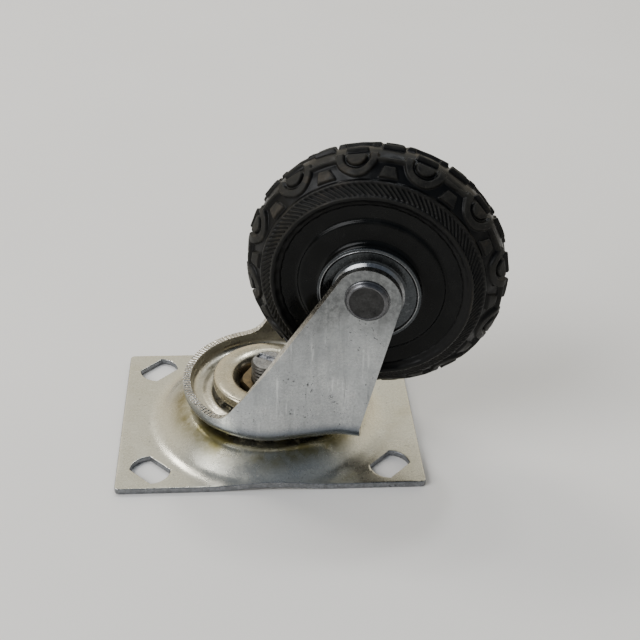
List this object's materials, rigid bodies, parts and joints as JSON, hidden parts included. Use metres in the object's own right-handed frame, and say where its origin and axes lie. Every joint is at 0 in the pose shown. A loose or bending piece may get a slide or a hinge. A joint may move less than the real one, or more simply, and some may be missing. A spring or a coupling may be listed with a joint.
{
  "type": "gate wheel",
  "caption": "Swivel gate wheel with a moulded tread, turning in a pressed fork on two rows of balls over a bolt-on domed plate.",
  "frame": {"origin": "centre of the mounting plate's underside, midway between its four bolt slots", "axes": "+X along the plate's length, +Y along its width, +Z away from the gate, out of the plate, along the swivel axis towards the wheel"},
  "size_m": [0.1179, 0.07, 0.1019],
  "materials": {
    "plate_zinc": "worn bright zinc plating, dull and a little yellowed",
    "fork_zinc": "pressed steel, zinc plated, scratched, with bright cut edges",
    "keeper_zinc": "warm yellowed zinc, smooth",
    "kingpin_steel": "threaded steel, dark in the threads, bright on the end",
    "nut_zinc": "yellowed zinc, greasy",
    "ball_steel": "polished bearing steel, greased",
    "rivet_steel": "forged steel, zinc plated, turned rim",
    "disc_zinc": "bright zinc, pressed in rings",
    "sleeve_steel": "drawn tube, ground outside",
    "tyre_rubber": "black moulded rubber, dusty in the tread",
    "core_plastic": "black moulded plastic, smooth, lightly rubbed",
    "liner_steel": "ground inside",
    "roller_steel": "ground steel",
    "cage_brass": "plain pressed sheet"
  },
  "bodies": {
    "plate": {"mounting_plate": "plate_zinc", "kingpin": "kingpin_steel", "kingpin_washer": "nut_zinc", "kingpin_nut": "nut_zinc", "keeper": "keeper_zinc"},
    "lower_ball_row": {"lower_balls": "ball_steel"},
    "upper_ball_row": {"upper_balls": "ball_steel"},
    "fork": {"fork": "fork_zinc", "axle_rivet": "rivet_steel", "rivet_washer": "disc_zinc", "axle_sleeve": "sleeve_steel", "hub_disc_near": "disc_zinc", "hub_disc_far": "disc_zinc"},
    "wheel": {"tyre": "tyre_rubber", "wheel_core": "core_plastic", "bearing_liner": "liner_steel"},
    "roller_set": {"bearing_rollers": "roller_steel", "bearing_cage": "cage_brass"}
  },
  "joints": [
    {"name": "fork_swivel", "type": "hinge", "parent": "plate", "child": "fork", "pos_m": [0, 0, 0], "axis": [0, 0, 1], "continuous": true},
    {"name": "lower_ball_orbit", "type": "hinge", "parent": "plate", "child": "lower_ball_row", "pos_m": [0, 0, 0], "axis": [0, 0, 1], "continuous": true},
    {"name": "upper_ball_orbit", "type": "hinge", "parent": "plate", "child": "upper_ball_row", "pos_m": [0, 0, 0], "axis": [0, 0, 1], "continuous": true},
    {"name": "wheel_spin", "type": "hinge", "parent": "fork", "child": "wheel", "pos_m": [0.03174, -0.00744, 0.0627], "axis": [0.2284, 0.9736, 0], "continuous": true},
    {"name": "roller_orbit", "type": "hinge", "parent": "fork", "child": "roller_set", "pos_m": [0.03174, -0.00744, 0.0627], "axis": [0.2284, 0.9736, 0], "continuous": true}
  ],
  "couplings": [
    {"joint": "lower_ball_orbit", "follows": "fork_swivel", "ratio": 0.5},
    {"joint": "upper_ball_orbit", "follows": "fork_swivel", "ratio": 0.5},
    {"joint": "roller_orbit", "follows": "wheel_spin", "ratio": 0.622}
  ]
}
